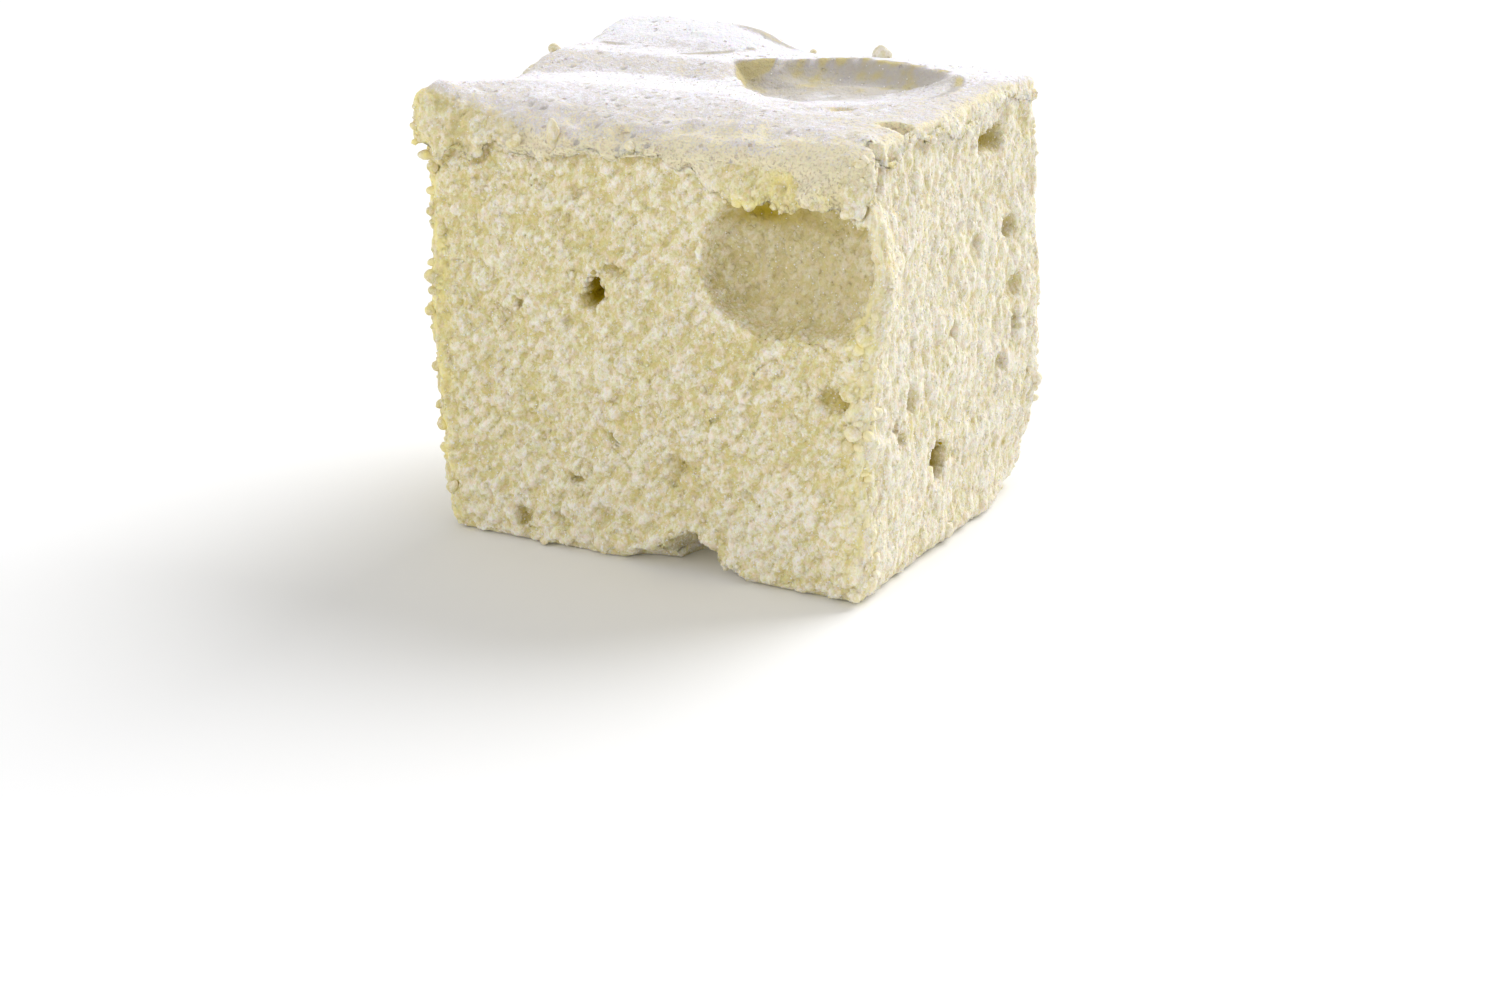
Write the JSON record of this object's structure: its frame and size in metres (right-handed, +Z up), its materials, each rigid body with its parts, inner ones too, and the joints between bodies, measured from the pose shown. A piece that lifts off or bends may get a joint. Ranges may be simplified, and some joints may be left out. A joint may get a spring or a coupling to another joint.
{
  "type": "marshmallow",
  "caption": "Hand-cut green tea marshmallow square: a soft foam block with bubbly cut sides and a spread, ridged top skin that overhangs as a lip.",
  "frame": {"origin": "centre of the bounding box in plan, on the surface that the block rests on", "axes": "+Z up, towards the spread top skin; -Y out of the front cut face, which has the large open bubble; +X out of the right cut face"},
  "size_m": [0.0408, 0.0342, 0.0363],
  "materials": {
    "foam": null
  },
  "bodies": {
    "root": {"marshmallow": "foam"}
  },
  "joints": []
}
